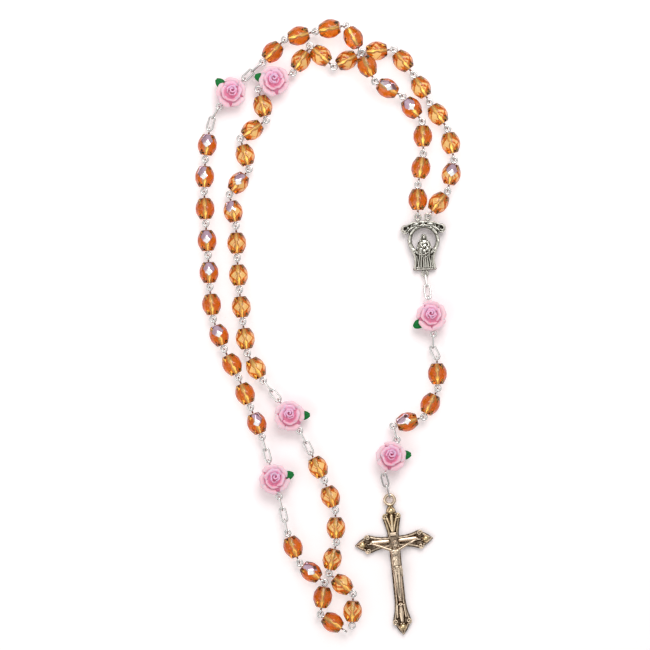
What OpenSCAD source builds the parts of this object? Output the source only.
// A five-decade rosary laid out flat: a loop of faceted glass beads and clay roses on hooked
// eye pins, a cast centre medal, and a pendant that ends in a crucifix.
// Every unit of the chain lies along a heading, in degrees from +X towards +Y.

/* [Beads] */
// Width of a glass bead across its corners
bead_d = 8.1; // [6.4:0.1:10]
// Length of a glass bead along its hole
bead_l = 8.4; // [6.5:0.1:11]
// Distance from the middle of a bead to the ring of corners on either side
bead_crown = 1.5; // [1.3:0.1:2]
// Facets around a bead
bead_sides = 8; // [6:2:10]
// Gap around the pin in the hole of a bead or rose
bore_play = 0.2; // [0.1:0.05:0.4]

/* [Wire] */
// Wire of the eyes and chain links
wire_d = 0.8; // [0.6:0.05:1]
// How much thinner a pin is drawn between its eyes
shank_thinning = 0.1; // [0.05:0.05:0.2]
// Play between two hooked eyes
link_play = 0.35; // [0.25:0.05:0.6]
// Bare wire between a bead or rose and the eye beside it
neck = 0.05; // [0.05:0.05:1]
// Length of a chain link over its ends
link_l = 6.6; // [5:0.1:9]
// Gap between the two eyes where the loop is left open
open_gap = 0.4; // [0.3:0.1:2]

/* [Roses] */
// Width of a rose over its outer petals
rose_d = 12.8; // [11.6:0.1:16]
// Width of a rose below its petals, where its pin passes
rose_body_d = 11; // [9:0.1:11.4]
// Height of a rose above the surface it lies on
rose_h = 8.8; // [7.5:0.1:11]
// Width of a rose where it lies on the surface
rose_base_d = 8.8; // [7:0.1:9]
// Petals around a rose
rose_petals = 5; // [4:1:7]
// Depth of the notches between the petals
petal_notch = 0.64; // [0.2:0.02:1]
// Rise of the petals' edge above the rim
rim_rise = 0.6; // [0.3:0.1:1]
// Height of the folds on top of a rose
fold_h = 0.45; // [0.2:0.05:0.7]
// Gap between the petals and the eyes of the pin under them
rim_gap = 0.3; // [0.2:0.1:1]
// How far a leaf reaches from the middle of its rose
leaf_reach = 8.4; // [7.6:0.1:11]
// Width of a leaf
leaf_w = 4; // [3:0.1:5]
// Thickness of a leaf
leaf_t = 1.2; // [0.8:0.1:1.6]

/* [Centre medal] */
// Thickness of the medal's frame
medal_t = 2.4; // [1.8:0.1:3.2]
// Thickness of the foot that the medal rests on
foot_t = 3; // [2.4:0.1:3.4]
// Height of the foot
foot_h = 1.2; // [0.8:0.1:1.6]
// Width of the foot
foot_w = 9.4; // [8.8:0.1:12]
// Width of the arch window
window_d = 10; // [9:0.1:11]
// Width of the frame around the window
frame_w = 1.3; // [1:0.1:1.8]
// Width of the pedestal below the window
pedestal_w = 8.2; // [7:0.1:8.8]
// Distance from the middle of the window to the bottom of the pedestal
pedestal_drop = 11; // [9.5:0.1:13]
// Distance between the two top eyes
eye_pair = 4; // [3.5:0.1:5.5]
// Thickness of the ribbon over the window
ribbon_t = 3; // [2.6:0.1:3.6]
// Rise of the ribbon's peak above the frame
ribbon_rise = 1.8; // [1.4:0.1:2.6]
// Width of a curl at each end of the ribbon
curl_d = 3.6; // [3:0.1:4.4]
// Hole in a curl
curl_hole_d = 1.3; // [0.8:0.1:1.8]
// Width of the seated figure at its knees
figure_w = 4.4; // [3.5:0.1:5]
// Height of the seated figure above the pedestal
figure_h = 7; // [6:0.1:8]

/* [Crucifix] */
// Length from the middle of the cross to the tip of an arm
cross_arm = 15.4; // [13:0.1:18]
// Length from the middle of the cross to the top of its finial
cross_top = 15; // [13.5:0.1:18]
// Length from the middle of the cross to the tip of its foot
cross_foot = 37; // [33:0.1:42]
// Width of the cross between its flared ends
cross_w = 4.6; // [4:0.1:5.4]
// Width of a flared end
flare_w = 7.8; // [6.8:0.1:9]
// Length over which an arm swells to its flared end
swell_l = 7; // [5:0.1:8]
// Thickness of the cross
cross_t = 2.2; // [1.8:0.1:3]
// Height of the raised ribs and bosses
rib_h = 0.6; // [0.3:0.1:1]
// Width of a boss on a flared end
boss_d = 2.8; // [2:0.1:3.4]
// Width of the hanging ring
ring_d = 5; // [4.6:0.1:6]
// Wire of the hanging ring
ring_wire_d = 1.1; // [0.8:0.05:1.3]
// Height of the figure on the cross from feet to hands
corpus_h = 24; // [20:0.1:27]
// Reach of the figure's arms to each side
corpus_reach = 9.2; // [8:0.1:10]
// Thickness of the figure's body
corpus_t = 2.2; // [1.6:0.1:2.8]
// Width of the figure's chest
chest_w = 4.2; // [3.6:0.1:5]
// Width of the figure's waist
waist_w = 2.8; // [2.4:0.1:3.4]
// Width of the cloth around the figure's hips
cloth_w = 3.4; // [3:0.1:4]
// Width of the figure's feet
feet_w = 1.6; // [1.2:0.1:2]
// Width of the figure's head
head_d = 2.8; // [2.2:0.1:3.2]
// Thickness of the figure's arms
corpus_arm_d = 1.2; // [0.9:0.1:1.5]

/* [Hidden] */
$fn = 32;

// Depth by which joined shapes run into each other
seam = 0.1;

// Eyes and links that follow from the wire
eye_r = wire_d + link_play;
eye_outer_r = eye_r + wire_d / 2;
eye_reach = eye_outer_r + neck;
shank_d = wire_d - shank_thinning;
bore_d = shank_d + 2 * bore_play;
link_span = link_l - 2 * eye_outer_r;

// Heights above the surface: beads lie on a facet, low eyes just clear the surface
bead_r = bead_d / 2;
axis_h = bead_r * cos(180 / bead_sides);
low_h = eye_outer_r + neck;

// Kinds of unit along the chain
BEAD = 0;
LINK = 1;
ROSE = 2;

// Length of a unit between the middles of its two eyes
function unit_span(kind) =
    kind == LINK ? link_span : (kind == ROSE ? rose_body_d : bead_l) + 2 * eye_reach;

// Headings of the beads of each decade, from the medal outwards along strands A and B
decade_1_headings = [90, 80, 92, 128, 153, 116, 117, 190, 194, 226];
decade_1_tilts = [0, 0, 0, 4, 10, 13, -13, -10, -4.5, 0];
decade_2_headings = [262, 268, 273, 274, 273, 276, 290, 297, 292, 291];
decade_3_headings_a = [292, 322, 262];
decade_3_headings_b = [296, 290, 272, 256, 320];
decade_4_headings = [285, 215, 286, 232, 282, 272, 274, 276, 278, 300];
decade_5_headings = [52, 78, 102, 124, 120, 128, 185, 208, 138, 238];

// Headings of each rose on the loop, with the links before and after it
rose_1_headings = [[220, 224], 228, [240, 255]];
rose_2_headings = [[286, 286], 286, [284, 283, 282]];
rose_3_headings = [[310, 308], 304, [298, 297]];
rose_4_headings = [[], 205, []];

// Headings of the pendant
rose_5_headings = [[277, 277], 278, [268, 296]];
pendant_headings = [272, 244, 196];
rose_6_headings = [[285], 250, [286, 286]];
crucifix_heading = 276;

// Directions of the leaves, from rose 1 to rose 6
leaf_headings = [137, 16, 3, 164, 212, 7];

// Place of the middle between the medal's top eyes, and the way from its foot to its top
medal_place = [37.75, 43.93];
medal_heading = 92.5;

// Medal levels, measured from the middle of the window
medal_r = window_d / 2 + frame_w;
seat_y = -0.65 * medal_r;
medal_eye_up = medal_r + ribbon_rise + eye_r;
medal_eye_down = pedestal_drop + foot_h + eye_r;
medal_drop = medal_eye_up + medal_eye_down;

// The medal leans so that the beads hooked in above lie at their height, and the link below low
medal_tilt = asin((axis_h - low_h) / (medal_drop + 2 * eye_r));
medal_at = [medal_place[0], medal_place[1], axis_h - eye_r * sin(medal_tilt)];

// Crucifix levels
ring_r = (ring_d - ring_wire_d) / 2;
ring_up = cross_top + ring_r;

// Slope of the two links that lead down to the medal's low eye and to the crucifix
slope = asin((axis_h - low_h) / (2 * link_span + 2 * eye_r));

function direction(heading, tilt = 0) =
    [cos(tilt) * cos(heading), cos(tilt) * sin(heading), sin(tilt)];

// An eye at the end of a unit: place, heading, tilt, and whether it stands upright
function last(list) = list[len(list) - 1];
function end_eye(unit) = [unit[6], unit[2], unit[3], unit[5]];

// A placed unit: kind, first eye, heading, tilt, first eye upright, last eye upright, last eye.
// Of two hooked eyes one stands upright, and each wire passes through the middle of the other eye.
function place(eye, unit) =
    let (
        up = !eye[3],
        upright_heading = up ? unit[1] : eye[1],
        flat_heading = up ? eye[1] : unit[1],
        flat_tilt = up ? eye[2] : unit[2],
        step_tilt = atan(tan(flat_tilt) * cos(upright_heading - flat_heading)),
        start = eye[0] + eye_r * direction(upright_heading, step_tilt),
        end = start + unit_span(unit[0]) * direction(unit[1], unit[2])
    )
    [unit[0], start, unit[1], unit[2], up, unit[0] == LINK ? up : !up, end];

function walk(units, eye, placed = []) =
    len(placed) == len(units) ? placed :
    let (next = place(eye, units[len(placed)]))
    walk(units, end_eye(next), concat(placed, [next]));

function walk_groups(groups, eye, placed = []) =
    len(placed) == len(groups) ? placed :
    let (next = walk(groups[len(placed)], eye))
    walk_groups(groups, end_eye(last(next)), concat(placed, [next]));

function part_of(list, first, count) = [for (i = [first : first + count - 1]) list[i]];
function beads(headings, tilts = []) =
    [for (i = [0 : len(headings) - 1]) [BEAD, headings[i], tilts == [] ? 0 : tilts[i]]];
function links(headings, tilt = 0) = [for (heading = headings) [LINK, heading, tilt]];
function rose(headings, tilt_before = 0, tilt_after = 0) =
    concat(
        links(headings[0], tilt_before),
        [[ROSE, headings[1], 0]],
        links(headings[2], tilt_after)
    );

// Eyes of the medal that the three branches start from
function medal_point(x, y) =
    medal_at + x * direction(medal_heading - 90)
        + (y - medal_eye_up) * direction(medal_heading, medal_tilt);
eye_a = [medal_point(-eye_pair / 2, medal_eye_up), medal_heading, medal_tilt, false];
eye_b = [medal_point(eye_pair / 2, medal_eye_up), medal_heading, medal_tilt, false];
eye_pendant = [medal_point(0, -medal_eye_down), medal_heading + 180, -medal_tilt, false];

// Strands A and B up to the last bead of each, in runs of three or four beads
decade_1 = beads(decade_1_headings, decade_1_tilts);
decade_2 = beads(decade_2_headings);
decade_3_b = beads(decade_3_headings_b);
decade_4 = beads(decade_4_headings);
decade_5 = beads(decade_5_headings);
open_a = walk_groups([
    part_of(decade_1, 0, 3),
    part_of(decade_1, 3, 4),
    part_of(decade_1, 7, 3),
    rose(rose_1_headings),
    part_of(decade_2, 0, 3),
    part_of(decade_2, 3, 4),
    part_of(decade_2, 7, 3),
    rose(rose_2_headings),
    beads(decade_3_headings_a)
], eye_a);
open_b = walk_groups([
    part_of(decade_5, 0, 3),
    part_of(decade_5, 3, 3),
    part_of(decade_5, 6, 4),
    rose(rose_4_headings),
    part_of(decade_4, 0, 3),
    part_of(decade_4, 3, 4),
    part_of(decade_4, 7, 3),
    rose(rose_3_headings),
    part_of(decade_3_b, 0, 3),
    part_of(decade_3_b, 3, 2)
], eye_b);

// The last two beads turn towards each other until their eyes lie side by side. Each swings about
// the point where it is hooked in, at its own reach, and the gap is taken out of the chord first.
function hook_point(eye) = eye[3] ? eye[0] + eye_r * direction(eye[1]) : eye[0];
function hook_reach(eye) = unit_span(BEAD) + (eye[3] ? 0 : eye_r);
function corner_angle(beside, base, opposite) =
    acos((beside * beside + base * base - opposite * opposite) / (2 * beside * base));
last_a = end_eye(last(last(open_a)));
last_b = end_eye(last(last(open_b)));
reach_a = hook_reach(last_a);
reach_b = hook_reach(last_b);
chord = hook_point(last_b) - hook_point(last_a);
chord_heading = atan2(chord[1], chord[0]);
chord_l = norm(chord) - 2 * eye_outer_r - open_gap;
heading_a = chord_heading - corner_angle(reach_a, chord_l, reach_b);
heading_b = chord_heading + 180 + corner_angle(reach_b, chord_l, reach_a);
closing_a = place(last_a, [BEAD, heading_a, 0]);
closing_b = place(last_b, [BEAD, heading_b, 0]);

// The pendant rises from the medal's low eye and falls again to the crucifix
pendant = walk_groups([
    rose(rose_5_headings, slope, 0),
    beads([pendant_headings[0]]),
    beads([pendant_headings[1]]),
    beads([pendant_headings[2]]),
    rose(rose_6_headings, 0, -slope)
], eye_pendant);
last_link = last(last(pendant));
ring_at = last_link[6] + ring_r * direction(crucifix_heading);

// Runs of beads and roses by name
runs = [
    ["decade_1_run_1", open_a[0]],
    ["decade_1_run_2", open_a[1]],
    ["decade_1_run_3", open_a[2]],
    ["decade_2_run_1", open_a[4]],
    ["decade_2_run_2", open_a[5]],
    ["decade_2_run_3", open_a[6]],
    ["decade_3_run_1", concat(open_a[8], [closing_a])],
    ["decade_3_run_2", concat(open_b[9], [closing_b])],
    ["decade_3_run_3", open_b[8]],
    ["decade_4_run_1", open_b[6]],
    ["decade_4_run_2", open_b[5]],
    ["decade_4_run_3", open_b[4]],
    ["decade_5_run_1", open_b[2]],
    ["decade_5_run_2", open_b[1]],
    ["decade_5_run_3", open_b[0]]
];
roses = [
    ["rose_1", open_a[3]],
    ["rose_2", open_a[7]],
    ["rose_3", open_b[7]],
    ["rose_4", open_b[3]],
    ["rose_5", pendant[0]],
    ["rose_6", pendant[4]]
];
pendant_units = [pendant[1][0], pendant[2][0], pendant[3][0]];

// Puts children at a unit's first eye, with X along the unit
module at_unit(unit) {
    translate(unit[1]) rotate([0, -unit[3], unit[2]]) children();
}

module torus(radius, tube_d) {
    rotate_extrude() translate([radius, 0]) circle(d = tube_d);
}

module eye(upright) {
    rotate([upright ? 90 : 0, 0, 0]) torus(eye_r, wire_d);
}

module pin(unit) {
    span = unit_span(unit[0]);
    at_unit(unit) {
        eye(unit[4]);
        translate([span, 0, 0]) eye(unit[5]);
        translate([eye_r, 0, 0]) rotate([0, 90, 0]) cylinder(d = shank_d, h = span - 2 * eye_r);
    }
}

module chain_link(unit) {
    at_unit(unit) rotate([unit[4] ? 90 : 0, 0, 0]) {
        rotate(90) rotate_extrude(angle = 180) translate([eye_r, 0]) circle(d = wire_d);
        translate([link_span, 0, 0]) rotate(-90) rotate_extrude(angle = 180)
            translate([eye_r, 0]) circle(d = wire_d);
        for (side = [-eye_r, eye_r])
            translate([0, side, 0]) rotate([0, 90, 0]) cylinder(d = wire_d, h = link_span);
    }
}

// A faceted bead along Z: diamonds round the middle, kites above and below, triangles at the ends
module bead_shape() {
    half = 180 / bead_sides;
    crown_r = bead_r * cos(half);
    end_z = bead_l / 2;
    end_r = bead_r + (crown_r * cos(half) - bead_r) * end_z / bead_crown;
    levels = [[bead_r, 0, 0], [crown_r, bead_crown, half], [crown_r, -bead_crown, half],
        [end_r, end_z, 0], [end_r, -end_z, 0]];
    points = [for (level = levels, k = [0 : bead_sides - 1])
        let (angle = 2 * half * k + level[2])
        [level[0] * cos(angle), level[0] * sin(angle), level[1]]];
    function corner(level, k) = level * bead_sides + (k + bead_sides) % bead_sides;
    faces = concat(
        [for (k = [0 : bead_sides - 1]) each [
            [corner(0, k), corner(1, k), corner(0, k + 1), corner(2, k)],
            [corner(1, k - 1), corner(3, k), corner(1, k), corner(0, k)],
            [corner(2, k - 1), corner(0, k), corner(2, k), corner(4, k)],
            [corner(3, k), corner(3, k + 1), corner(1, k)],
            [corner(4, k), corner(2, k), corner(4, k + 1)]
        ]],
        [[for (k = [bead_sides - 1 : -1 : 0]) corner(3, k)]],
        [[for (k = [0 : bead_sides - 1]) corner(4, k)]]
    );
    polyhedron(points, faces);
}

module bead(unit) {
    at_unit(unit) translate([unit_span(BEAD) / 2, 0, 0]) rotate([0, 90, 0]) difference() {
        rotate(180 / bead_sides) bead_shape();
        cylinder(d = bore_d, h = 2 * bead_l, center = true);
    }
}

module run_beads(run) {
    color("darkorange") for (unit = run[1]) bead(unit);
}

module run_pins(run) {
    color("silver") for (unit = run[1]) pin(unit);
}

module pendant_bead(unit) {
    color("darkorange") bead(unit);
}

module pendant_pin(unit) {
    color("silver") pin(unit);
}

module rose_chain(flower) {
    color("silver") for (unit = flower[1]) {
        if (unit[0] == ROSE) pin(unit);
        else chain_link(unit);
    }
}

function rose_of(flower) = [for (unit = flower[1]) if (unit[0] == ROSE) unit][0];

// Levels of a rose: its body, the rim of the petals, and the folded top
rim_z = axis_h + eye_outer_r + rim_gap;
top_rings = 9;
rose_sides = 30;
function rose_level(ring) =
    let (
        body_r = rose_body_d / 2,
        edge_z = rim_z + rim_rise,
        angle_out = 90 * (ring - 3) / top_rings,
        angle_up = 90 * (ring - 2) / top_rings
    )
    ring == 0 ? [rose_base_d / 2, 0] :
    ring == 1 ? [body_r, axis_h / 2] :
    ring == 2 ? [body_r, rim_z] :
    [rose_d / 2 * cos(angle_out), edge_z + (rose_h - edge_z - fold_h) * sin(angle_up)];

module rose_shape() {
    rings = top_rings + 2;
    function notch(ring, angle) = ring < 3 ? 0 :
        petal_notch * (1 - cos(rose_petals * angle)) / 2 * (1 - (ring - 3) / (top_rings - 2));
    function fold(ring, angle) = ring < 4 ? 0 : fold_h * cos(120 * (ring - 3) - angle);
    points = concat(
        [for (ring = [0 : rings - 1], k = [0 : rose_sides - 1])
            let (
                angle = 360 / rose_sides * k,
                level = rose_level(ring),
                r = level[0] - notch(ring, angle)
            )
            [r * cos(angle), r * sin(angle), level[1] + fold(ring, angle)]],
        [[0, 0, rose_h]]
    );
    function at(ring, k) = ring * rose_sides + k % rose_sides;
    faces = concat(
        [[for (k = [0 : rose_sides - 1]) k]],
        [for (ring = [0 : rings - 2], k = [0 : rose_sides - 1]) each [
            [at(ring, k), at(ring + 1, k), at(ring + 1, k + 1)],
            [at(ring, k), at(ring + 1, k + 1), at(ring, k + 1)]
        ]],
        [for (k = [0 : rose_sides - 1])
            [at(rings - 1, k), rings * rose_sides, at(rings - 1, k + 1)]]
    );
    polyhedron(points, faces);
}

// Puts children at the foot of a rose, with X along its pin
module at_rose(flower) {
    at_unit(rose_of(flower)) translate([unit_span(ROSE) / 2, 0, -axis_h]) children();
}

module rose_bloom(flower) {
    color("pink") at_rose(flower) difference() {
        rose_shape();
        translate([0, 0, axis_h]) rotate([0, 90, 0])
            cylinder(d = bore_d, h = 2 * rose_d, center = true);
    }
}

// A pointed leaf between two arcs, seated on the side of its rose
module rose_leaf(flower, heading) {
    root = rose_body_d / 4;
    half_l = (leaf_reach - root) / 2;
    arc_r = (half_l * half_l + leaf_w * leaf_w / 4) / leaf_w;
    color("seagreen") at_rose(flower) rotate(heading - rose_of(flower)[2])
        translate([0, 0, rim_z - leaf_t - rim_gap]) difference() {
            intersection_for (side = [-1, 1])
                translate([root + half_l, side * (arc_r - leaf_w / 2), 0])
                    cylinder(r = arc_r, h = leaf_t, $fn = 64);
            translate([0, 0, -leaf_t]) cylinder(d = rose_body_d, h = 3 * leaf_t, $fn = 64);
        }
}

module at_medal() {
    translate(medal_at) rotate([0, 0, medal_heading - 90]) rotate([medal_tilt, 0, 0])
        translate([0, -medal_eye_up, 0]) children();
}

// A plate of a given thickness, half above and half below the plane of the eyes
module plate(thickness) {
    translate([0, 0, -thickness / 2]) linear_extrude(thickness) children();
}

module medal_frame() {
    difference() {
        union() {
            cylinder(r = medal_r, h = medal_t, center = true, $fn = 64);
            plate(medal_t) polygon([
                [-pedestal_w / 2, -pedestal_drop], [pedestal_w / 2, -pedestal_drop],
                [medal_r * cos(30), -medal_r / 2], [-medal_r * cos(30), -medal_r / 2]
            ]);
        }
        difference() {
            cylinder(d = window_d, h = 2 * medal_t, center = true, $fn = 64);
            translate([0, seat_y - medal_r, 0])
                cube([2 * medal_r, 2 * medal_r, 4 * medal_t], center = true);
        }
    }
    translate([0, -pedestal_drop - foot_h / 2, 0])
        cube([foot_w, foot_h + 2 * seam, foot_t], center = true);
}

module medal_ribbon() {
    curl_x = medal_r + curl_d / 4;
    curl_y = medal_r * 0.7;
    crest = medal_r + ribbon_rise * 2 / 3;
    for (side = [-1, 1]) translate([side * curl_x, curl_y, 0]) difference() {
        cylinder(d = curl_d, h = ribbon_t, center = true);
        cylinder(d = curl_hole_d, h = 2 * ribbon_t, center = true);
    }
    plate(ribbon_t) polygon([
        [-curl_x, curl_y + curl_d / 2],
        [-medal_r / 2, medal_r * 0.8],
        [0, medal_r * 0.9],
        [medal_r / 2, medal_r * 0.8],
        [curl_x, curl_y + curl_d / 2],
        [medal_r / 2, crest],
        [0, medal_r + ribbon_rise],
        [-medal_r / 2, crest]
    ]);
}

// The seated figure: a robe that spreads to the knees and falls to the foot, a head and a child
module medal_figure() {
    head_r = figure_h / 8;
    shoulder_y = seat_y + figure_h - 2.6 * head_r;
    knee_y = seat_y + figure_h * 0.2;
    knee_x = figure_w / 2;
    hem_x = figure_w * 0.4;
    shoulder_x = figure_w * 0.3;
    translate([0, 0, -medal_t / 4]) linear_extrude(medal_t * 0.9) polygon([
        [-knee_x, seat_y - 2 * seam],
        [knee_x, seat_y - 2 * seam],
        [knee_x, knee_y],
        [shoulder_x, shoulder_y],
        [head_r / 2, shoulder_y + head_r],
        [-head_r / 2, shoulder_y + head_r],
        [-shoulder_x, shoulder_y],
        [-knee_x, knee_y]
    ]);
    translate([0, 0, medal_t / 4]) linear_extrude(medal_t * 0.6) polygon([
        [-hem_x, -pedestal_drop],
        [hem_x, -pedestal_drop],
        [knee_x, knee_y],
        [-knee_x, knee_y]
    ]);
    translate([0, shoulder_y + 1.4 * head_r, medal_t / 5]) sphere(head_r);
    translate([-figure_w * 0.25, shoulder_y - head_r / 2, medal_t * 0.6]) sphere(head_r * 0.8);
}

module centre_medal() {
    color("silver") at_medal() {
        medal_frame();
        medal_ribbon();
        medal_figure();
        for (side = [-1, 1]) translate([side * eye_pair / 2, medal_eye_up, 0]) {
            torus(eye_r, wire_d);
            translate([0, -eye_r - ribbon_rise / 2, 0])
                cube([wire_d * 1.4, ribbon_rise + 2 * seam, wire_d * 1.2], center = true);
        }
        translate([0, -medal_eye_down, 0]) torus(eye_r, wire_d);
    }
}

// Puts children at the middle of the cross, with Y towards its top
module at_crucifix() {
    translate([ring_at[0], ring_at[1], 0]) rotate(crucifix_heading + 90)
        translate([0, -ring_up, 0]) children();
}

// Outline of one arm along +Y: straight, swelling to the flare, then closing to a round tip
module arm_outline(length) {
    steps = 6;
    root_x = cross_w / 2;
    flare_x = flare_w / 2;
    flare_y = length - flare_w * 0.6;
    side = [for (i = [0 : steps])
        let (share = (1 - cos(180 * i / steps)) / 2)
        [root_x + (flare_x - root_x) * share, flare_y - swell_l * (1 - i / steps)]];
    tip = [for (i = [1 : steps])
        [flare_x * cos(90 * i / steps), flare_y + (length - flare_y) * sin(90 * i / steps)]];
    half = concat([[root_x, -root_x]], side, tip);
    polygon(concat(half, [for (i = [len(half) - 2 : -1 : 0]) [-half[i][0], half[i][1]]]));
}

module arm(length) {
    linear_extrude(cross_t) arm_outline(length);
    translate([-cross_w / 6, 0, cross_t]) cube([cross_w / 3, length - flare_w * 0.75, rib_h]);
    translate([0, length - boss_d * 0.75, cross_t]) cylinder(d = boss_d, h = rib_h, $fn = 4);
    for (side = [-1, 1]) translate([side * flare_w * 0.3, length - flare_w * 0.62, cross_t])
        cylinder(d = boss_d * 0.6, h = rib_h);
}

module crucifix() {
    color("darkkhaki") at_crucifix() {
        for (turn = [90, -90]) rotate(turn) arm(cross_arm);
        arm(cross_top);
        rotate(180) arm(cross_foot);
        translate([0, ring_up, low_h]) torus(ring_r, ring_wire_d);
    }
}

// The figure on the cross: chest, cloth and legs taper down, the arms rise to the sides
module corpus() {
    head_y = -head_d / 6;
    chest_y = -0.11 * corpus_h;
    hip_y = -0.4 * corpus_h;
    knee_y = -0.55 * corpus_h;
    slab_h = chest_w / 3;
    module slab(width, y) {
        translate([0, y, 0]) cube([width, slab_h, corpus_t], center = true);
    }
    color("gainsboro") at_crucifix() translate([0, 0, cross_t + rib_h + corpus_t / 2]) {
        hull() {
            slab(chest_w, chest_y);
            slab(waist_w, hip_y);
        }
        hull() {
            slab(cloth_w, hip_y);
            slab(waist_w, knee_y);
        }
        hull() {
            slab(waist_w, knee_y);
            slab(feet_w, slab_h / 2 - corpus_h);
        }
        for (side = [-1, 1]) hull() {
            translate([side * chest_w / 3, chest_y, 0]) sphere(d = corpus_arm_d * 1.3, $fn = 16);
            translate([side * corpus_reach, -head_y, 0]) sphere(d = corpus_arm_d, $fn = 16);
        }
        translate([0, head_y, (head_d - corpus_t) / 2]) sphere(d = head_d);
        translate([0, (head_y + chest_y) / 2, 0])
            cube([head_d / 2, head_y - chest_y, corpus_t / 2], center = true);
    }
}

for (run = runs) {
    run_beads(run);
    run_pins(run);
}
for (i = [0 : len(roses) - 1]) {
    rose_bloom(roses[i]);
    rose_leaf(roses[i], leaf_headings[i]);
    rose_chain(roses[i]);
}
for (i = [0 : 2]) {
    pendant_bead(pendant_units[i]);
    pendant_pin(pendant_units[i]);
}
centre_medal();
crucifix();
corpus();
